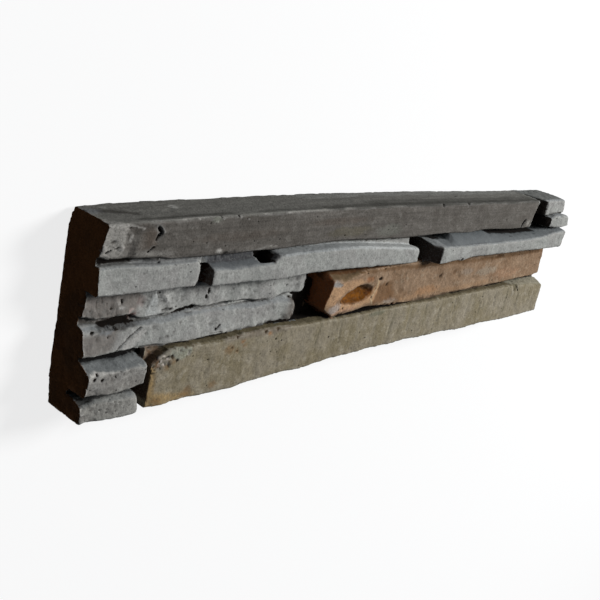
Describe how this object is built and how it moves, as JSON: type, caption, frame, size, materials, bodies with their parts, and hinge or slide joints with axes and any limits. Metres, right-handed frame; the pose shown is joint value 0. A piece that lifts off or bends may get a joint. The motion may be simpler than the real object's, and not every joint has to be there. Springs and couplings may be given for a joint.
{
  "type": "ledge stone cladding panel",
  "caption": "Cast ledge stone wall cladding panel: long and short split stones in staggered courses at uneven depths on one flat backing.",
  "frame": {"origin": "centre of the flat back face, which the panel lies on", "axes": "+X along the panel from its left end to its right end, +Y towards the edge that is uppermost on a wall, +Z out of the wall through the stones"},
  "size_m": [0.691, 0.1554, 0.0573],
  "materials": {
    "cast_stone": "matt split stone, coloured in grey, olive and tan"
  },
  "bodies": {
    "root": {"cladding_panel": "cast_stone"}
  },
  "joints": []
}
